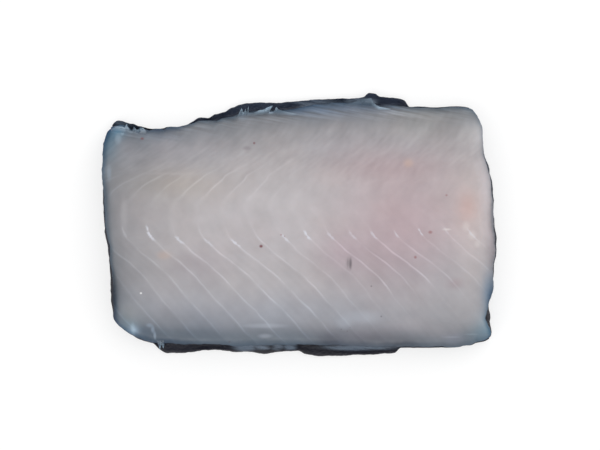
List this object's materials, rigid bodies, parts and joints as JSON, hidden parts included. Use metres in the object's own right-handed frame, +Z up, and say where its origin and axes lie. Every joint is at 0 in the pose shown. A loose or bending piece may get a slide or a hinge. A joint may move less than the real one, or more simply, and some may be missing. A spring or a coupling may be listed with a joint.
{
  "type": "sturgeon fillet portion",
  "caption": "Raw skin-on slab of sturgeon fillet, lying skin down with its pale boned face up and dark skin showing at its edges.",
  "frame": {"origin": "middle of the footprint, on the surface that the skin lies on", "axes": "+X along the fish, +Y from the belly edge to the back edge, +Z up out of the boned face"},
  "size_m": [0.1994, 0.133, 0.0278],
  "materials": {
    "flesh": "raw, moist and faintly translucent, greyish white with pink towards the middle and bluish thin edges",
    "skin": "wet fish skin, blue-black to brown-black, with a fine pebbled grain"
  },
  "bodies": {
    "root": {"flesh": "flesh", "skin": "skin"}
  },
  "joints": []
}
